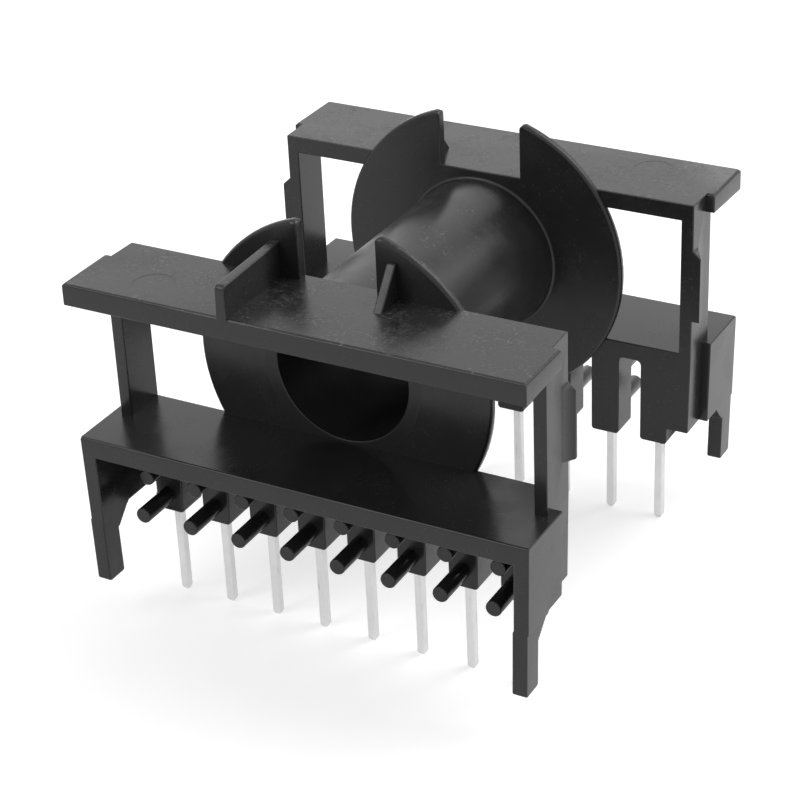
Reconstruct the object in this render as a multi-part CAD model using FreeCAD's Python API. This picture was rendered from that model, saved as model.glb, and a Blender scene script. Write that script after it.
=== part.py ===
import FreeCAD, Part
import math
import os

from FreeCAD import Vector

# Coil former for a transformer whose two core halves push in from the ends, with pressed-in solder pins.
# The row of pins runs along X, the coil turns about an axis along Y, and Z is up.
# The pin tips are at Z = 0 and the middle of the former is at X = Y = 0. All sizes are in millimetres.

# Coil tube and its two flanges
coil_length = 28.0
flange_diameter = 29.0
flange_thickness = 1.05
flange_rim_chamfer = 0.3
tube_diameter = 15.1
tube_root_chamfer = 0.35
bore_diameter = 13.0
bore_mouth_chamfer = 0.15

# Passage that the core fills in each frame: between bar and shelf, and between the two posts
core_slot_height = 13.55
core_slot_width = 40.4

# Lead-in slot that parts the top of each flange into two ears, measured from the middle to each side
near_slot_left = 3.65
near_slot_right = 3.92
far_slot_left = 4.1
far_slot_right = 4.2
ear_corner_radius = 0.45

# Terminal frame in plan: a narrow strip along the coil, then the full length outside it
frame_lap = 0.54
strip_depth = 2.96
outer_depth = 6.66
end_step = 0.83
bar_thickness = 2.1
bar_thickness_at_coil = 1.7
edge_chamfer = 0.22
shelf_thickness = 1.95
shelf_thickness_at_coil = 1.6

# Posts between bar and shelf, each with a wedge-shaped rib on its outer face
post_width = 1.22
post_depth = 4.3
rib_height = 0.75
rib_run = 1.35
rib_bottom = 3.3
rib_top = 3.9
rib_top_slope = 0.7
rib_flat = 0.23
rib_round = 0.17

# End walls under the shelf, each ending in a foot at its outer edge
wall_thickness = 1.41
wall_drop = 8.45
wall_flat_depth = 5.5
foot_depth = 2.28
foot_slope_drop = 1.9
foot_drop = 15.0
wall_corner_radius = 0.25
wall_draft_run = 0.28

# Pin blocks that hang from the shelf, one to a pin
pins_per_row = 8
pin_pitch = 5.08
block_width = 2.85
block_depth = 3.2
block_drop = 10.16
block_corner_radius = 0.35
block_gap_radius = 0.5
web_thickness = 1.0

# Wire pegs on the outer face of each block
peg_diameter = 1.5
low_peg_rise = 1.8
low_peg_length = 4.3
high_peg_rise = 5.25
high_peg_length = 3.25

# Square pins
pin_width = 0.8
pin_edge_chamfer = 0.08
pin_set_back = 1.78
pin_hold = 6.2
pin_stand_out = 9.315
pin_tip_length = 0.35
pin_tip_width = 0.46
pin_hole_clearance = 0.0

# Fin that splits the lead-in side of the near bar, and the gussets behind the other ears
fin_inner_x = 5.38
fin_thickness = 0.95
fin_below_rim = 1.27
fin_fall = 0.35
fin_corner_radius = 0.5
gusset_inner_x = 5.2
gusset_thickness = 0.82
gusset_below_rim = 1.35
gusset_reach = 3.0
gusset_flat = 0.3

# Shallow round mark that an ejector pin leaves on each bar
mark_diameter = 3.8
mark_depth = 0.05
mark_x = 14.8
mark_depth_along_bar = 6.35

# Worked-out places
axis_height = core_slot_height / 2 + block_drop + pin_stand_out
coil_half = coil_length / 2
flange_radius = flange_diameter / 2
tube_radius = tube_diameter / 2
bore_radius = bore_diameter / 2
frame_face = coil_half - frame_lap
frame_depth = strip_depth + outer_depth
frame_outer = frame_face + frame_depth
inner_half = core_slot_width / 2 + post_width
outer_half = inner_half + end_step
bar_underside = axis_height + core_slot_height / 2
bar_top = bar_underside + bar_thickness_at_coil
shelf_top = axis_height - core_slot_height / 2
block_end = shelf_top - block_drop
wall_end = shelf_top - wall_drop
foot_end = shelf_top - foot_drop
pin_row = frame_face + pin_set_back

# How far a solid runs into its neighbour before the two are joined
overlap = 0.3


def rounded_wire(corners, place):
    """Closed outline of straight runs, each corner (a, b, radius) turned by an arc; place(a, b) gives a point."""
    turns = []
    count = len(corners)
    for index, (a, b, radius) in enumerate(corners):
        corner = Vector(a, b, 0)
        back = Vector(*corners[index - 1][:2], 0) - corner
        ahead = Vector(*corners[(index + 1) % count][:2], 0) - corner
        back.normalize()
        ahead.normalize()
        if radius <= 0:
            turns.append([corner])
            continue
        half = back.getAngle(ahead) / 2
        middle = back + ahead
        middle.normalize()
        run = radius / math.tan(half)
        reach = radius / math.sin(half) - radius
        turns.append([corner + back * run, corner + middle * reach, corner + ahead * run])
    edges = []
    for index, turn in enumerate(turns):
        points = [place(point.x, point.y) for point in turn]
        if len(points) == 3:
            edges.append(Part.Arc(*points).toShape())
        following = turns[(index + 1) % count][0]
        start, end = points[-1], place(following.x, following.y)
        if start.distanceToPoint(end) > 1e-6:
            edges.append(Part.LineSegment(start, end).toShape())
    return Part.Wire(edges)


def plate_along_x(corners, x_from, x_to):
    """Plate with its outline in (Y, Z), from one X to another."""
    face = Part.Face(rounded_wire(corners, lambda y, z: Vector(x_from, y, z)))
    return face.extrude(Vector(x_to - x_from, 0, 0))


def plate_along_y(corners, y_from, y_to):
    """Plate with its outline in (X, Z), from one Y to another."""
    face = Part.Face(rounded_wire(corners, lambda x, z: Vector(x, y_from, z)))
    return face.extrude(Vector(0, y_to - y_from, 0))


def plate_along_z(corners, z_from, z_to):
    """Plate with its outline in (X, Y), from one Z to another."""
    face = Part.Face(rounded_wire(corners, lambda x, y: Vector(x, y, z_from)))
    return face.extrude(Vector(0, 0, z_to - z_from))


def box(x_from, x_to, y_from, y_to, z_from, z_to):
    """Plain block between two corners."""
    return Part.makeBox(x_to - x_from, y_to - y_from, z_to - z_from, Vector(x_from, y_from, z_from))


def fused(solids):
    """One solid from several that overlap, with the seams between flush faces removed."""
    return solids[0].fuse(solids[1:]).removeSplitter()


def rim_height(x):
    """Height of the flange's rim above the table at a distance x from the middle."""
    return axis_height + math.sqrt(flange_radius ** 2 - x ** 2)


def tee_corners():
    """Plan of bar and shelf, counter-clockwise: the strip along the coil and the longer part outside it."""
    step = frame_face + strip_depth
    return [
        (-inner_half, frame_face, 0),
        (inner_half, frame_face, 0),
        (inner_half, step, 0),
        (outer_half, step, 0),
        (outer_half, frame_outer, 0),
        (-outer_half, frame_outer, 0),
        (-outer_half, step, 0),
        (-inner_half, step, 0),
    ]


# Coil

def coil_section():
    """Half section of tube and flanges as (radius, Y), for the turn about the coil axis."""
    inner_face = coil_half - flange_thickness
    mouth = bore_radius + bore_mouth_chamfer
    upper = [
        (bore_radius, coil_half - bore_mouth_chamfer),
        (mouth, coil_half),
        (flange_radius - flange_rim_chamfer, coil_half),
        (flange_radius, coil_half - flange_rim_chamfer),
        (flange_radius, inner_face + flange_rim_chamfer),
        (flange_radius - flange_rim_chamfer, inner_face),
        (tube_radius + tube_root_chamfer, inner_face),
        (tube_radius, inner_face - tube_root_chamfer),
    ]
    return upper + [(radius, -y) for radius, y in reversed(upper)]


def coil():
    """Tube with a flange at each end, open right through."""
    section = [Vector(radius, y, axis_height) for radius, y in coil_section()]
    wire = Part.makePolygon(section + section[:1])
    turned = Part.Face(wire).revolve(Vector(0, 0, axis_height), Vector(0, 1, 0), 360)
    near_slot = ear_slot(near_slot_left, near_slot_right, -coil_length, 0)
    far_slot = ear_slot(far_slot_left, far_slot_right, 0, coil_length)
    return turned.cut([near_slot, far_slot])


def ear_slot(left_half, right_half, y_from, y_to):
    """Space between two ears, from the bar's top upwards, opening out round each ear's corner."""
    left = ear_side(left_half)
    right = ear_side(right_half)
    above = axis_height + flange_diameter
    edges = []
    for sign, side in ((1, right), (-1, left)):
        foot, start, middle, end, outside = [Vector(sign * x, 0, z) for x, z in side]
        run = [Part.LineSegment(foot, start).toShape(), Part.Arc(start, middle, end).toShape()]
        run.append(Part.LineSegment(end, outside).toShape())
        run.append(Part.LineSegment(outside, Vector(outside.x, 0, above)).toShape())
        edges.extend(run)
    edges.append(Part.LineSegment(Vector(right[-1][0], 0, above), Vector(-left[-1][0], 0, above)).toShape())
    edges.append(Part.LineSegment(Vector(right[0][0], 0, bar_top), Vector(-left[0][0], 0, bar_top)).toShape())
    face = Part.Face(Part.Wire(Part.__sortEdges__(edges)))
    face.translate(Vector(0, y_from, 0))
    return face.extrude(Vector(0, y_to - y_from, 0))


def ear_side(half_width):
    """One side of the slot as (X, Z) points: up the ear's flank, round its corner and out past the rim."""
    round_x = half_width + ear_corner_radius
    round_rise = math.sqrt((flange_radius - ear_corner_radius) ** 2 - round_x ** 2)
    angle_out = math.atan2(round_rise, round_x)
    angle_mid = (math.pi + angle_out) / 2
    centre_z = axis_height + round_rise

    def on_round(angle):
        return (
            round_x + ear_corner_radius * math.cos(angle),
            centre_z + ear_corner_radius * math.sin(angle),
        )

    outside = flange_radius + 1.0
    return [
        (half_width, bar_top),
        on_round(math.pi),
        on_round(angle_mid),
        on_round(angle_out),
        (outside * math.cos(angle_out), axis_height + outside * math.sin(angle_out)),
    ]


# Terminal frame, drawn on the +Y side of the coil

def bar():
    """Top bar over the core, with softened upper edges and a sloping underside."""
    plain = plate_along_z(tee_corners(), bar_top - bar_thickness - overlap, bar_top)
    outline = [edge for edge in plain.Edges if edge.BoundBox.ZMin > bar_top - edge_chamfer]
    outline = [edge for edge in outline if edge.BoundBox.YMin > frame_face + overlap]
    return plain.makeChamfer(edge_chamfer, outline).cut(room_under_bar())


def room_under_bar():
    """Open space under the bar, which is thinnest along the coil."""
    slope = (bar_thickness - bar_thickness_at_coil) / frame_depth
    near, far = frame_face - overlap, frame_outer + overlap
    below = bar_underside - bar_thickness
    corners = [
        (near, below, 0),
        (far, below, 0),
        (far, bar_underside - slope * (far - frame_face), 0),
        (near, bar_underside - slope * (near - frame_face), 0),
    ]
    return plate_along_x(corners, -outer_half - overlap, outer_half + overlap)


def shelf_and_walls():
    """Shelf with an end wall at each side, cut from one block whose ends lean in a little towards the feet."""
    block = plate_along_z(tee_corners(), foot_end, shelf_top)
    return block.common(side_profile()).common(leaning_ends()).cut(room_under_shelf())


def leaning_ends():
    """The frame's outline below its shelf, a little narrower at the feet."""
    step = frame_face + strip_depth
    strip = leaning_block(inner_half, frame_face - overlap, step)
    return strip.fuse(leaning_block(outer_half, step, frame_outer + overlap))


def leaning_block(half, y_from, y_to):
    """Block from the shelf's top to below the feet, whose ends lean in on the way down."""
    low = foot_end - overlap
    run = wall_draft_run * (shelf_top - low) / foot_drop
    corners = [
        (-half, shelf_top, 0),
        (run - half, low, 0),
        (half - run, low, 0),
        (half, shelf_top, 0),
    ]
    return plate_along_y(corners, y_from, y_to)


def side_profile():
    """Side view of shelf, wall and foot, as wide as the whole frame."""
    foot_inner = frame_outer - foot_depth
    corners = [
        (frame_face - overlap, shelf_top, 0),
        (frame_face - overlap, wall_end, 0),
        (frame_face + wall_flat_depth, wall_end, wall_corner_radius),
        (foot_inner, wall_end - foot_slope_drop, wall_corner_radius),
        (foot_inner, foot_end, wall_corner_radius),
        (frame_outer, foot_end, wall_corner_radius),
        (frame_outer, shelf_top - edge_chamfer, 0),
        (frame_outer - edge_chamfer, shelf_top, 0),
    ]
    return plate_along_x(corners, -outer_half - overlap, outer_half + overlap)


def room_under_shelf():
    """Open space between the end walls, under the sloping underside of the shelf."""
    beyond = frame_outer + overlap
    corners = [
        (frame_face - 2 * overlap, shelf_top - shelf_thickness_at_coil, 0),
        (frame_face - 2 * overlap, foot_end - overlap, 0),
        (beyond, foot_end - overlap, 0),
        (beyond, shelf_top - shelf_thickness, 0),
        (frame_outer, shelf_top - shelf_thickness, 0),
    ]
    room = plate_along_x(corners, -outer_half, outer_half)
    return room.common(leaning_block(outer_half - wall_thickness, frame_face - 2 * overlap, beyond))


def posts():
    """The two posts between bar and shelf, with their ribs."""
    made = []
    for sign in (-1, 1):
        low, high = sorted((sign * core_slot_width / 2, sign * inner_half))
        made.append(box(low, high, frame_face, frame_face + post_depth, shelf_top - overlap, bar_underside + overlap))
        made.append(rib(sign))
    return made


def rib(sign):
    """Wedge on a post's outer face, deepest along the coil side, with a sloping top."""
    tip = inner_half + rib_height
    plan = [
        (sign * (inner_half - overlap), frame_face, 0),
        (sign * tip, frame_face, 0),
        (sign * tip, frame_face + rib_flat, rib_round),
        (sign * inner_half, frame_face + rib_run, 0),
        (sign * (inner_half - overlap), frame_face + rib_run, 0),
    ]
    front = [
        (sign * (inner_half - overlap), axis_height - rib_bottom, 0),
        (sign * tip, axis_height - rib_bottom, 0),
        (sign * tip, axis_height + rib_top - rib_top_slope, 0),
        (sign * inner_half, axis_height + rib_top, 0),
        (sign * (inner_half - overlap), axis_height + rib_top, 0),
    ]
    wedge = plate_along_z(plan, axis_height - rib_bottom, axis_height + rib_top)
    return wedge.common(plate_along_y(front, frame_face, frame_face + rib_run))


def block_middles():
    """X of each pin block, from one end of the row to the other."""
    first = -(pins_per_row - 1) / 2 * pin_pitch
    return [first + index * pin_pitch for index in range(pins_per_row)]


def comb():
    """The row of pin blocks, drawn as one comb that hangs from the shelf."""
    roof = shelf_top - shelf_thickness_at_coil
    gap_top = roof - (shelf_thickness - shelf_thickness_at_coil) * block_depth / frame_depth
    middles = block_middles()
    corners = []
    for middle in middles:
        left = middle - block_width / 2
        right = middle + block_width / 2
        first, last = middle == middles[0], middle == middles[-1]
        corners.append((left, shelf_top - overlap if first else gap_top, 0 if first else block_gap_radius))
        corners.append((left, block_end, block_corner_radius))
        corners.append((right, block_end, block_corner_radius))
        corners.append((right, shelf_top - overlap if last else gap_top, 0 if last else block_gap_radius))
    return plate_along_y(corners, frame_face, frame_face + block_depth)


def end_webs():
    """Thin webs that close the gap between the last blocks and the end walls on the coil side."""
    row_half = block_middles()[-1]
    wall_face = outer_half - wall_thickness + overlap
    webs = []
    for sign in (-1, 1):
        low, high = sorted((sign * row_half, sign * wall_face))
        webs.append(box(low, high, frame_face, frame_face + web_thickness, wall_end, shelf_top - overlap))
    return webs


def peg(x, z, length):
    """Round peg rooted in the outer face of a block."""
    root = Vector(x, frame_face + block_depth - overlap, z)
    return Part.makeCylinder(peg_diameter / 2, length + overlap, root, Vector(0, 1, 0))


def pegs():
    """A short high peg and a longer low peg on every block."""
    made = []
    for middle in block_middles():
        made.append(peg(middle, block_end + low_peg_rise, low_peg_length))
        made.append(peg(middle, block_end + high_peg_rise, high_peg_length))
    return made


def gusset(sign):
    """Small triangular stay behind an ear."""
    top = rim_height(gusset_inner_x + gusset_thickness) - gusset_below_rim
    corners = [
        (coil_half - overlap, bar_top - overlap, 0),
        (coil_half + gusset_reach, bar_top - overlap, 0),
        (coil_half + gusset_reach, bar_top, 0),
        (coil_half + gusset_flat, top, 0),
        (coil_half - overlap, top, 0),
    ]
    low, high = sorted((sign * gusset_inner_x, sign * (gusset_inner_x + gusset_thickness)))
    return plate_along_x(corners, low, high)


def fin(sign):
    """Upright fin across the whole bar that keeps the lead-in apart."""
    top = rim_height(fin_inner_x + fin_thickness) - fin_below_rim
    corners = [
        (coil_half - overlap, bar_top - overlap, 0),
        (frame_outer, bar_top - overlap, 0),
        (frame_outer, top - fin_fall, fin_corner_radius),
        (coil_half - overlap, top, 0),
    ]
    low, high = sorted((sign * fin_inner_x, sign * (fin_inner_x + fin_thickness)))
    return plate_along_x(corners, low, high)


def ejector_mark():
    """Disc that is cut into the bar's top."""
    place = Vector(mark_x, frame_face + mark_depth_along_bar, bar_top - mark_depth)
    return Part.makeCylinder(mark_diameter / 2, mark_depth + overlap, place)


def terminal_frame(upper_stays):
    """Everything on one side of the coil, joined to the stays above its bar."""
    pieces = [bar(), shelf_and_walls(), comb()] + posts() + end_webs() + pegs() + upper_stays
    return fused(pieces).cut(ejector_mark())


def pin_hole(x):
    """Square hole for one pin, from the block's end upwards."""
    half = pin_width / 2 + pin_hole_clearance
    return box(x - half, x + half, pin_row - half, pin_row + half, block_end - overlap, block_end + pin_hold)


def turned_to_front(shape):
    """The same shape on the other side of the coil, turned half round about Z."""
    turned = shape.copy()
    turned.rotate(Vector(0, 0, 0), Vector(0, 0, 1), 180)
    return turned


def coil_former():
    """The whole moulding."""
    back = terminal_frame([gusset(-1), gusset(1)])
    front = turned_to_front(terminal_frame([gusset(-1), fin(1)]))
    body = fused([coil(), back, front])
    holes = [pin_hole(x) for x in block_middles()]
    holes = holes + [turned_to_front(hole) for hole in holes]
    return body.cut(holes)


# Pins

def pin(x, side):
    """Square wire pin with softened edges and a tapered tip, pressed into its block."""
    half = pin_width / 2
    tip = pin_tip_width / 2
    cut = half - pin_edge_chamfer
    top = block_end + pin_hold
    ring = [(-cut, -half), (cut, -half), (half, -cut), (half, cut)]
    ring = ring + [(-a, -b) for a, b in ring]
    side_view = [(tip, 0), (half, pin_tip_length), (half, top), (-half, top), (-half, pin_tip_length), (-tip, 0)]
    column = plate_along_z([(a, b, 0) for a, b in ring], 0, top)
    column = column.common(plate_along_x([(a, z, 0) for a, z in side_view], -half, half))
    column = column.common(plate_along_y([(a, z, 0) for a, z in side_view], -half, half))
    column.translate(Vector(x, side * pin_row, 0))
    return column


def export(shape, name):
    """Write one piece, after making sure that it is one sound solid."""
    if not shape.isValid() or len(shape.Solids) != 1:
        raise ValueError(name + " is not one sound solid")
    shape.Solids[0].exportStep("parts/" + name + ".step")


os.makedirs("parts", exist_ok=True)
export(coil_former(), "coil_former")
number = 1
for side, row in ((-1, block_middles()), (1, block_middles()[::-1])):
    for x in row:
        export(pin(x, side), "pin_%02d" % number)
        number += 1
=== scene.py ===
"""Looks of the moulded coil former and its solder pins: finishes, bench, lamps and camera."""

import math

import bmesh
import bpy
from bpy.props import FloatProperty, FloatVectorProperty
from bpy.types import Operator, Panel, PropertyGroup
from mathutils import Euler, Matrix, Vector


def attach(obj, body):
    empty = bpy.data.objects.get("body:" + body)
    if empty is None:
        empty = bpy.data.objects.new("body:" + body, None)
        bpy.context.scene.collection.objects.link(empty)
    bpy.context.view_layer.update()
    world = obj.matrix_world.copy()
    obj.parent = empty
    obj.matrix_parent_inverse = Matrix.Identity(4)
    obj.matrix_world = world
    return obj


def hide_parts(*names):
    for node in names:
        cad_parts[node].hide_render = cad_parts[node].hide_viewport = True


bl_info = {
    "name": "Coil former looks",
    "version": (1, 0, 0),
    "blender": (4, 5, 0),
    "location": "3D View > Sidebar > Coil former",
    "description": "Finishes, bench, lamps and camera for a moulded coil former with solder pins",
    "category": "Object",
}

MM = 0.001
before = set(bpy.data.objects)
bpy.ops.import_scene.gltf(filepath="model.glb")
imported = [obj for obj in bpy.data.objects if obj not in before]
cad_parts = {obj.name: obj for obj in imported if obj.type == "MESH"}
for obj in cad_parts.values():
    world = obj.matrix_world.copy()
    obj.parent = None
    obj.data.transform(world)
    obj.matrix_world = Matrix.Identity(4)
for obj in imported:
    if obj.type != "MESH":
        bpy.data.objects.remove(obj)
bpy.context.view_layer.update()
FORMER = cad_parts["coil_former"]
PINS = [node for name, node in sorted(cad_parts.items()) if name.startswith("pin_")]

# How close points count as one when the shell is merged, and how close a point lies on a cutting plane
MERGE = 0.004 * MM
ON_PLANE = 0.0001 * MM

# Angles up to which a face is flat, from which an edge is rounded, and from which its shading stays sharp
FLAT = math.radians(0.3)
CORNER = math.radians(50)
CREASE = math.radians(48)

# Segments to each rounding, and how strongly the larger faces set the shading, where 50 is neutral
ROUNDING_SEGMENTS = 2
FLAT_WEIGHT = 100

# Cosines between two directions: the same way, straight on from each other, and more along than across
SAME_WAY = 0.999
STRAIGHT_ON = -0.9999
MOSTLY_ALONG = 0.5

# Marks of the mould: two shallow discs on the bars, and a line across the feet below which they stand aside,
# where a foot is whatever lies further out than FEET_INNER
MARK_FLOOR = 34.675 * MM
MARK_LIFT = 0.035 * MM
PARTING_HEIGHT = 10.87 * MM
PARTING_SOFTNESS = 0.05 * MM
PARTING_SHIFT = 0.1 * MM
FEET_INNER = 19.0 * MM

# Between these heights the upward faces begin to show handling, and the pale flecks on them are partly
# painted glints of fibre
HANDLED_FROM = 30.0 * MM
HANDLED_FULLY = 34.5 * MM

# The tube lies within this radius of the coil's axis, and is duller than the rest
AXIS_HEIGHT = 26.25 * MM
TUBE_REACH = 7.75 * MM
TUBE_EDGE = 0.1 * MM

# Sockets of a Mix node that blends colours
MIX_FACTOR, MIX_FIRST, MIX_SECOND, MIX_RESULT = 0, 6, 7, 2

# Resin: tones as multiples of its own colour or the dust's, how much each mark shows in the colour,
# what it adds to the roughness, how strong and deep the relief is, and the shares in it
CLOUD_TONE = 1.5
FLECK_AND_GLINT_TONE = 1.6
DUST_SHARE = 0.3
FLECK_SHARE = 0.12
# On the upward faces the extra flecks and the specks are partly bared fibre and partly painted glints of
# fibre
WORN_AND_GLINT_FLECK_SHARE = 0.75
FIBRE_AND_GLINT_SPECK_SHARE = 0.4
CLOUD_ROUGHNESS = 0.09
SCUFF_ROUGHNESS = 0.1
TUBE_ROUGHNESS = 0.07
PATCH_ROUGHNESS = 0.06
RESIN_RELIEF = 0.1
RESIN_RELIEF_DEPTH = 0.05 * MM
GRAIN_IN_RELIEF = 0.5
CLOUD_IN_RELIEF = 0.6
SCUFF_IN_RELIEF = 0.8

# Tin: the same, and how much its streaks are drawn out along the wire
DULL_TONE = 0.86
SCUFF_TONE = 0.6
TIN_SCUFF_SHARE = 0.45
TIN_CLOUD_ROUGHNESS = 0.18
TIN_SCUFF_ROUGHNESS = 0.12
TIN_RELIEF = 0.25
TIN_RELIEF_DEPTH = 0.03 * MM
ALONG_WIRE = (1.0, 1.0, 0.12)

# Camera, fitted to the photograph: side and focal length in pixels, sensor and place in millimetres,
# turn in degrees, and the nearest distance that it sees, in metres
PHOTO_SIDE = 800
PHOTO_FOCAL = 2300.57
SENSOR = 36.0
CAMERA_PLACE = (91.6968, -164.4517, 120.4664)
CAMERA_TURN = (61.13366, 2.30701, 28.47726)
NEAREST_SEEN = 0.01

# Lamps, in millimetres: name, setting that holds the strength, place, point that it looks at, and size
LAMPS = (
    ("key_lamp", "key_power", (150, 120, 250), (0, 0, 20), 220),
    ("rim_lamp", "rim_power", (-172, 308, 208), (0, 0, 25), 320),
    ("front_lamp", "front_power", (-150, -204, 260), (0, 0, 25), 180),
)

# Bench, in metres from side to side
BENCH_SIZE = 6.0
BENCH_ROUGHNESS = 0.9
WHITE = (1.0, 1.0, 1.0, 1.0)


class Wire:
    """A socket of a node tree that takes part in sums as a Python value does."""

    def __init__(self, tree, socket):
        self.tree = tree
        self.socket = socket

    def maths(self, operation, *values):
        """One Math node on these values, of which one is this wire."""
        return Wire(self.tree, add_node(self.tree, "Math", {"operation": operation}, values).outputs[0])

    def __add__(self, other):
        return self.maths("ADD", self, other)

    __radd__ = __add__

    def __sub__(self, other):
        return self.maths("SUBTRACT", self, other)

    def __rsub__(self, other):
        return self.maths("SUBTRACT", other, self)

    def __mul__(self, other):
        return self.maths("MULTIPLY", self, other)

    __rmul__ = __mul__

    def __pow__(self, other):
        return self.maths("POWER", self, other)

    def step(self, low, high):
        """0 below low, 1 above high and smooth between them."""
        smooth = {"interpolation_type": "SMOOTHSTEP"}
        return Wire(self.tree, add_node(self.tree, "MapRange", smooth, (self, low, high)).outputs[0])

    def highest(self, other):
        """The higher of the two."""
        return self.maths("MAXIMUM", self, other)


def add_node(tree, kind, settings=None, values=()):
    """Adds a shader node: its settings first, then a value or a link for each socket."""
    node = tree.nodes.new("ShaderNode" + kind)
    for name, setting in (settings or {}).items():
        setattr(node, name, setting)
    pairs = values.items() if isinstance(values, dict) else enumerate(values)
    for key, value in pairs:
        if isinstance(value, Wire):
            tree.links.new(value.socket, node.inputs[key])
        else:
            node.inputs[key].default_value = value
    return node


def blend_colours(tree, factor, first, second):
    """Mixes two colours by a wire."""
    values = {MIX_FACTOR: factor, MIX_FIRST: first, MIX_SECOND: second}
    return Wire(tree, add_node(tree, "Mix", {"data_type": "RGBA"}, values).outputs[MIX_RESULT])


def new_material(name):
    """An empty node material and its tree, output and shader."""
    material = bpy.data.materials.new(name)
    material.use_nodes = True
    tree = material.node_tree
    tree.nodes.clear()
    output = add_node(tree, "OutputMaterial")
    shader = add_node(tree, "BsdfPrincipled")
    tree.links.new(shader.outputs[0], output.inputs["Surface"])
    return material, tree, shader


def noise(tree, place, scale, detail, roughness=0.5):
    """Noise of about 1 / scale metres to a blob."""
    values = {"Vector": place, "Scale": scale, "Detail": detail, "Roughness": roughness}
    return Wire(tree, add_node(tree, "TexNoise", None, values).outputs["Fac"])


def seen_rays(tree):
    """1 for camera, glossy and transmission rays, and 0 for those that light the object."""
    path = add_node(tree, "LightPath")
    camera, glossy, through = (
        Wire(tree, path.outputs[name]) for name in ("Is Camera Ray", "Is Glossy Ray", "Is Transmission Ray")
    )
    return camera.highest(glossy).highest(through)


def split(tree, vector):
    """The three parts of a vector."""
    node = add_node(tree, "SeparateXYZ", None, (vector,))
    return [Wire(tree, socket) for socket in node.outputs]


def object_place(tree):
    """The point on the surface in the object's own frame, in metres."""
    return Wire(tree, add_node(tree, "TexCoord").outputs["Object"])


def add_bump(tree, shader, relief, strength, distance):
    """Gives a shader a fine relief, of this strength and depth."""
    bump = add_node(tree, "Bump", None, {"Strength": strength, "Distance": distance, "Height": relief})
    tree.links.new(bump.outputs[0], shader.inputs["Normal"])


def piece_from(bm, name, material):
    """Makes a finished piece of a bmesh, which rides on the part and takes the given material."""
    mesh = bpy.data.meshes.new(name)
    bm.to_mesh(mesh)
    bm.free()
    mesh.materials.append(material)
    mesh.shade_smooth()
    piece = bpy.data.objects.new(name, mesh)
    bpy.context.scene.collection.objects.link(piece)
    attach(piece, "root")
    return piece


def reach(edge, face):
    """How far a face goes from one of its edges, square to it."""
    start, end = (corner.co for corner in edge.verts)
    along = (end - start).normalized()
    return max(((corner.co - start) - (corner.co - start).dot(along) * along).length for corner in face.verts)


def merged_copy(node):
    """A CAD node's surface as one closed shell, with flat faces whole again."""
    bm = bmesh.new()
    bm.from_mesh(node.data)
    bmesh.ops.remove_doubles(bm, verts=bm.verts, dist=MERGE)
    bmesh.ops.dissolve_degenerate(bm, dist=MERGE, edges=bm.edges)
    bmesh.ops.dissolve_limit(bm, angle_limit=FLAT, verts=bm.verts, edges=bm.edges, delimit=set())
    return bm


def once(things):
    """Each of these things once, in their order."""
    return list(dict.fromkeys(things))


def cut_faces(bm, faces, place, square_to):
    """Cuts some faces at a plane and gives the new lines."""
    edges = once(edge for face in faces for edge in face.edges)
    corners = once(corner for face in faces for corner in face.verts)
    cut = bmesh.ops.bisect_plane(
        bm, geom=faces + edges + corners, dist=ON_PLANE, plane_co=place, plane_no=square_to
    )
    return [line for line in cut["geom_cut"] if isinstance(line, bmesh.types.BMEdge)]


def lift_marks(bm):
    """Makes the two shallow discs of the ejector pins a little shallower."""
    level = [face for face in bm.faces if face.normal.z > SAME_WAY]
    floors = [face for face in level if abs(face.calc_center_median().z - MARK_FLOOR) < MERGE]
    corners = once(corner for face in floors for corner in face.verts)
    bmesh.ops.translate(bm, verts=corners, vec=Vector((0, 0, MARK_LIFT)))


def part_feet(bm):
    """Steps the feet aside below the mould's parting line."""
    for height in (PARTING_HEIGHT, PARTING_HEIGHT - PARTING_SOFTNESS):
        faces = [face for face in bm.faces if abs(face.calc_center_median().x) > FEET_INNER]
        cut_faces(bm, faces, (0, 0, height), (0, 0, 1))
    below = PARTING_HEIGHT - PARTING_SOFTNESS / 2
    feet = [corner for corner in bm.verts if corner.co.z < below and abs(corner.co.x) > FEET_INNER]
    bmesh.ops.translate(bm, verts=feet, vec=Vector((-PARTING_SHIFT, 0, 0)))


def is_rounded(edge, narrowest):
    """Whether an edge is an outer one, between faces that are wide enough for its rounding."""
    if not edge.is_convex or edge.calc_face_angle(0.0) < CORNER:
        return False
    return min(reach(edge, face) for face in edge.link_faces) > narrowest


def turns(corner, narrowest):
    """Whether the rounded edges turn at this point."""
    rounded = [edge for edge in corner.link_edges if is_rounded(edge, narrowest)]
    ways = [(edge.other_vert(corner).co - corner.co).normalized() for edge in rounded]
    return any(one.dot(other) > STRAIGHT_ON for index, one in enumerate(ways) for other in ways[:index])


def divides_flat(edge):
    """Whether an edge only divides a flat face."""
    return edge.calc_face_angle(FLAT) < FLAT / 2


def clear_corners(bm, narrowest):
    """Leads the lines that divide flat faces away from the corners, where they would spoil the rounding.

    New lines run square to the frame from where the old ones met a hole, and the old ones are dissolved.
    """
    starts = []
    for edge in bm.edges:
        turning = [turns(corner, narrowest) for corner in edge.verts] if divides_flat(edge) else [False]
        if any(turning):
            first, second = edge.link_faces
            middle = (first.calc_center_median() + second.calc_center_median()) / 2
            inner = min(edge.verts, key=lambda corner: (corner.co - middle).length)
            start = inner if all(turning) else edge.verts[turning.index(False)]
            starts.append((start.co.copy(), first.normal.copy()))
    for place, normal in starts:
        here = [corner for corner in bm.verts if (corner.co - place).length < ON_PLANE]
        around = once(face for corner in here for face in corner.link_faces)
        faces = [face for face in around if face.normal.dot(normal) > SAME_WAY]
        across = (1, 0, 0) if abs(normal.x) < MOSTLY_ALONG else (0, 1, 0)
        for edge in cut_faces(bm, faces, place, across):
            edge.seam = edge.seam or divides_flat(edge)
    bmesh.ops.dissolve_limit(bm, angle_limit=FLAT, verts=[], edges=bm.edges, delimit={"SEAM"})


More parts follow.
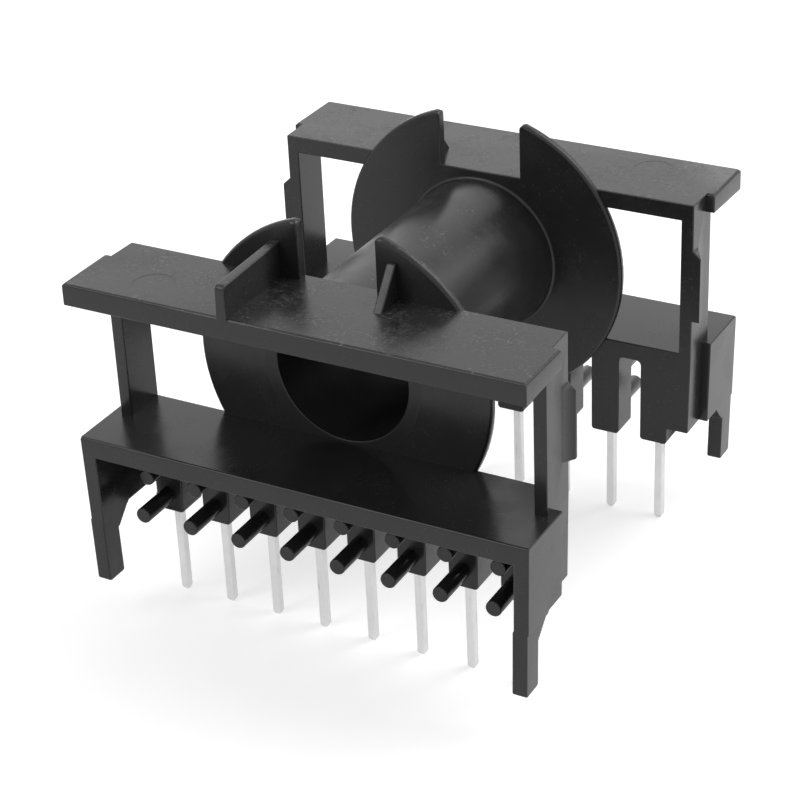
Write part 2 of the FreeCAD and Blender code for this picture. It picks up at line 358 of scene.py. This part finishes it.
def round_edges(bm, radius, narrowest):
    """Rounds the outer edges of a shell, apart from the edges of faces that are too narrow for it."""
    clear_corners(bm, narrowest)
    bmesh.ops.bevel(
        bm,
        geom=[edge for edge in bm.edges if is_rounded(edge, narrowest)],
        offset=radius,
        offset_type="OFFSET",
        segments=ROUNDING_SEGMENTS,
        profile=0.5,
        affect="EDGES",
        clamp_overlap=False,
        material=-1,
        loop_slide=True,
    )
    for edge in bm.edges:
        edge.smooth = edge.calc_face_angle(0.0) < CREASE


def rgba(colour, times=1.0):
    """A colour with full alpha, made paler or darker."""
    return tuple(times * part for part in colour) + (1.0,)


class MouldingSettings(PropertyGroup):
    edge_radius: FloatProperty(
        name="Edge radius",
        description="Rounding of the outer edges",
        subtype="DISTANCE",
        unit="LENGTH",
        default=0.12 * MM,
    )
    narrowest_face: FloatProperty(
        name="Narrowest face",
        description="Faces narrower than this keep their sharp edges",
        subtype="DISTANCE",
        unit="LENGTH",
        default=0.25 * MM,
    )
    colour: FloatVectorProperty(
        name="Resin colour",
        description="Base colour of the glass-filled resin",
        subtype="COLOR",
        size=3,
        min=0.0,
        max=1.0,
        default=(0.0125, 0.0125, 0.013),
    )
    # Its paler tone also colours the flecks, which on the upward faces are partly painted glints
    dust: FloatVectorProperty(
        name="Dust colour",
        description="Colour of fine dust and of bared fibre on the upper faces",
        subtype="COLOR",
        size=3,
        min=0.0,
        max=1.0,
        default=(0.085, 0.085, 0.086),
    )
    roughness: FloatProperty(
        name="Roughness",
        description="Micro-roughness of the moulded skin",
        subtype="FACTOR",
        min=0.0,
        max=1.0,
        default=0.205,
    )
    index: FloatProperty(
        name="Refraction",
        description="Index of refraction of the glass-filled resin",
        min=1.0,
        default=1.4,
    )


class PinSettings(PropertyGroup):
    colour: FloatVectorProperty(
        name="Tin colour",
        description="Base colour of the tinned wire",
        subtype="COLOR",
        size=3,
        min=0.0,
        max=1.0,
        default=(0.72, 0.725, 0.72),
    )
    roughness: FloatProperty(
        name="Roughness",
        description="Roughness of the dull tin",
        subtype="FACTOR",
        min=0.0,
        max=1.0,
        default=0.36,
    )


class StageSettings(PropertyGroup):
    floor_grey: FloatProperty(
        name="Floor grey",
        description="Grey of the bench under the part",
        subtype="FACTOR",
        min=0.0,
        max=1.0,
        default=0.8,
    )
    floor_glow: FloatProperty(
        name="Floor glow",
        description="Added to the bench where it is seen, so that it looks white",
        min=0.0,
        default=0.46,
    )
    world_strength: FloatProperty(
        name="Room light",
        description="Strength of the light from all round",
        min=0.0,
        default=0.52,
    )
    key_power: FloatProperty(
        name="Key lamp",
        description="Strength of the large lamp above and behind on the right",
        unit="POWER",
        min=0.0,
        default=0.5,
    )
    rim_power: FloatProperty(
        name="Rim lamp",
        description="Strength of the broad low lamp behind on the left",
        unit="POWER",
        min=0.0,
        default=0.14,
    )
    front_power: FloatProperty(
        name="Front lamp",
        description="Strength of the high lamp in front on the left",
        unit="POWER",
        min=0.0,
        default=0.3,
    )


def moulding_material(settings):
    """Black glass-filled resin: a satin skin with fine grain, pale flecks of fibre, and worn upper faces
    whose extra pale flecks are partly bared fibre and partly painted glints.
    """
    material, tree, shader = new_material("black_resin")
    shader.inputs["IOR"].default_value = settings.index
    place = object_place(tree)
    cloud = noise(tree, place, scale=260.0, detail=4.0, roughness=0.6)
    mottle = noise(tree, place, scale=1700.0, detail=3.0, roughness=0.65)
    grain = noise(tree, place, scale=5200.0, detail=2.0)
    crowds = noise(tree, place, scale=500.0, detail=2.0).step(0.4, 0.7)
    flecks = noise(tree, place, scale=4200.0, detail=0.0).step(0.66, 0.76) * crowds
    across, _, height = split(tree, place)
    off_axis = (across**2 + (height - AXIS_HEIGHT) ** 2) ** 0.5
    tube = 1 - off_axis.step(TUBE_REACH, TUBE_REACH + TUBE_EDGE)
    facing = split(tree, Wire(tree, add_node(tree, "NewGeometry").outputs["Normal"]))[2]
    worn_and_glinting_tops = facing.step(0.4, 0.9) * height.step(HANDLED_FROM, HANDLED_FULLY)
    scuffs_and_glints = worn_and_glinting_tops * cloud.step(0.4, 0.65)
    patches = noise(tree, place, scale=1700.0, detail=2.0, roughness=0.6).step(0.4, 0.65)
    patches = patches * worn_and_glinting_tops * (1 - tube)
    # Pale specks only on the upward faces of the bars: partly bared fibre, partly painted glints
    fibre_and_glint_specks = noise(tree, place, scale=2800.0, detail=1.0).step(0.6, 0.7) * scuffs_and_glints * (1 - tube)
    skin = blend_colours(tree, cloud, rgba(settings.colour), rgba(settings.colour, CLOUD_TONE))
    dusty = blend_colours(tree, DUST_SHARE * scuffs_and_glints * mottle.step(0.45, 0.72), skin, rgba(settings.dust))
    # Pale flecks everywhere, and more on the upward faces, where they and the specks are partly painted
    # glints
    pale = (flecks * (FLECK_SHARE + WORN_AND_GLINT_FLECK_SHARE * scuffs_and_glints)).highest(FIBRE_AND_GLINT_SPECK_SHARE * fibre_and_glint_specks)
    colour = blend_colours(tree, pale, dusty, rgba(settings.dust, FLECK_AND_GLINT_TONE))
    tree.links.new(colour.socket, shader.inputs["Base Color"])
    rough = settings.roughness + CLOUD_ROUGHNESS * cloud.step(0.35, 0.7)
    rough = rough + SCUFF_ROUGHNESS * scuffs_and_glints * mottle.step(0.4, 0.7)
    rough = rough + TUBE_ROUGHNESS * tube + PATCH_ROUGHNESS * patches
    tree.links.new(rough.socket, shader.inputs["Roughness"])
    relief = GRAIN_IN_RELIEF * grain + CLOUD_IN_RELIEF * cloud + SCUFF_IN_RELIEF * scuffs_and_glints * mottle
    add_bump(tree, shader, relief, RESIN_RELIEF, RESIN_RELIEF_DEPTH)
    return material


def tin_material(settings):
    """Dull tin on square wire, with streaks along the wire."""
    material, tree, shader = new_material("dull_tin")
    shader.inputs["Metallic"].default_value = 1.0
    place = object_place(tree)
    drawn = add_node(tree, "VectorMath", {"operation": "MULTIPLY"}, (place, ALONG_WIRE))
    streaks = noise(tree, Wire(tree, drawn.outputs[0]), scale=4200.0, detail=3.0, roughness=0.6)
    cloud = noise(tree, place, scale=700.0, detail=3.0)
    scuffs = streaks.step(0.58, 0.72) * cloud.step(0.45, 0.6)
    dulled = 0.5 * streaks + 0.5 * cloud
    tin = blend_colours(tree, dulled, rgba(settings.colour), rgba(settings.colour, DULL_TONE))
    colour = blend_colours(tree, TIN_SCUFF_SHARE * scuffs, tin, rgba(settings.colour, SCUFF_TONE))
    tree.links.new(colour.socket, shader.inputs["Base Color"])
    rough = settings.roughness + TIN_CLOUD_ROUGHNESS * cloud + TIN_SCUFF_ROUGHNESS * scuffs
    tree.links.new(rough.socket, shader.inputs["Roughness"])
    add_bump(tree, shader, streaks, TIN_RELIEF, TIN_RELIEF_DEPTH)
    return material


def bench_material(grey, extra):
    """Pale matt bench, with a glow that only lifts what is seen of it and lights nothing."""
    material, tree, shader = new_material("pale_bench")
    shader.inputs["Base Color"].default_value = (grey, grey, grey, 1.0)
    shader.inputs["Roughness"].default_value = BENCH_ROUGHNESS
    plain = Wire(tree, shader.outputs[0])
    glow = add_node(tree, "Emission", None, {"Color": WHITE, "Strength": extra})
    both = add_node(tree, "AddShader", None, (plain, Wire(tree, glow.outputs[0])))
    mixed = add_node(tree, "MixShader", None, (seen_rays(tree), plain, Wire(tree, both.outputs[0])))
    output = next(node for node in tree.nodes if node.bl_idname == "ShaderNodeOutputMaterial")
    tree.links.new(mixed.outputs[0], output.inputs["Surface"])
    return material


def make_world(strength):
    """White surroundings where they are seen, and an even light of this strength on the object."""
    world = bpy.data.worlds.new("studio")
    world.use_nodes = True
    tree = world.node_tree
    tree.nodes.clear()
    seen = seen_rays(tree)
    sky = add_node(tree, "Background", None, {"Color": WHITE, "Strength": seen + (1 - seen) * strength})
    tree.links.new(sky.outputs[0], add_node(tree, "OutputWorld").inputs["Surface"])
    return world


def add_camera():
    """The camera that took the photograph."""
    camera = bpy.data.cameras.new("camera")
    camera.sensor_width = SENSOR
    camera.lens = PHOTO_FOCAL / PHOTO_SIDE * SENSOR
    camera.clip_start = NEAREST_SEEN
    holder = bpy.data.objects.new("camera", camera)
    holder.location = [c * MM for c in CAMERA_PLACE]
    holder.rotation_euler = Euler([math.radians(a) for a in CAMERA_TURN])
    bpy.context.scene.collection.objects.link(holder)
    return holder


def add_lamp(name, place, target, size, power):
    """A square soft lamp that looks at a point; places and size are in millimetres."""
    lamp = bpy.data.lights.new(name, "AREA")
    lamp.size = size * MM
    lamp.energy = power
    holder = bpy.data.objects.new(name, lamp)
    holder.location = Vector(place) * MM
    holder.rotation_euler = (Vector(target) - Vector(place)).to_track_quat("-Z", "Y").to_euler()
    bpy.context.scene.collection.objects.link(holder)


class FORMER_OT_moulding(Operator):
    """Gives the moulding its satin black resin"""

    bl_idname = "former.moulding"
    bl_label = "Moulding"

    def execute(self, context):
        settings = context.scene.former_moulding
        bm = merged_copy(FORMER)
        lift_marks(bm)
        part_feet(bm)
        round_edges(bm, settings.edge_radius, settings.narrowest_face)
        piece = piece_from(bm, "moulded_former", moulding_material(settings))
        smooth = piece.modifiers.new("smooth_flats", "WEIGHTED_NORMAL")
        smooth.mode = "FACE_AREA"
        smooth.weight = FLAT_WEIGHT
        smooth.keep_sharp = True
        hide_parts("coil_former")
        return {"FINISHED"}


class FORMER_OT_pins(Operator):
    """Gives the pins their dull tin"""

    bl_idname = "former.pins"
    bl_label = "Pins"

    def execute(self, context):
        material = tin_material(context.scene.former_pins)
        for pin in PINS:
            pin.data.materials.clear()
            pin.data.materials.append(material)
        return {"FINISHED"}


class FORMER_OT_stage(Operator):
    """Puts the part on a pale bench, with lamps and the camera"""

    bl_idname = "former.stage"
    bl_label = "Stage"

    def execute(self, context):
        settings = context.scene.former_stage
        bpy.ops.mesh.primitive_plane_add(size=BENCH_SIZE, location=(0, 0, 0))
        floor = context.object
        floor.name = "bench"
        floor.data.materials.append(bench_material(settings.floor_grey, settings.floor_glow))
        context.scene.camera = add_camera()
        context.scene.view_settings.view_transform = "Standard"
        for name, power, place, target, size in LAMPS:
            add_lamp(name, place, target, size, getattr(settings, power))
        context.scene.world = make_world(settings.world_strength)
        return {"FINISHED"}


class FORMER_PT_panel(Panel):
    """Lists the steps of the part's looks"""

    bl_label = "Coil former"
    bl_space_type = "VIEW_3D"
    bl_region_type = "UI"
    bl_category = "Coil former"

    def draw(self, context):
        for operator in OPERATORS:
            self.layout.operator(operator.bl_idname)


SETTINGS = (
    (MouldingSettings, "former_moulding"),
    (PinSettings, "former_pins"),
    (StageSettings, "former_stage"),
)
OPERATORS = (FORMER_OT_moulding, FORMER_OT_pins, FORMER_OT_stage)


def register():
    for group, name in SETTINGS:
        bpy.utils.register_class(group)
        setattr(bpy.types.Scene, name, bpy.props.PointerProperty(type=group))
    for operator in OPERATORS + (FORMER_PT_panel,):
        bpy.utils.register_class(operator)


def unregister():
    for operator in (FORMER_PT_panel,) + OPERATORS:
        bpy.utils.unregister_class(operator)
    for group, name in SETTINGS:
        delattr(bpy.types.Scene, name)
        bpy.utils.unregister_class(group)


def main():
    register()
    bpy.ops.former.moulding()
    bpy.ops.former.pins()
    bpy.ops.former.stage()


if __name__ == "__main__":
    main()
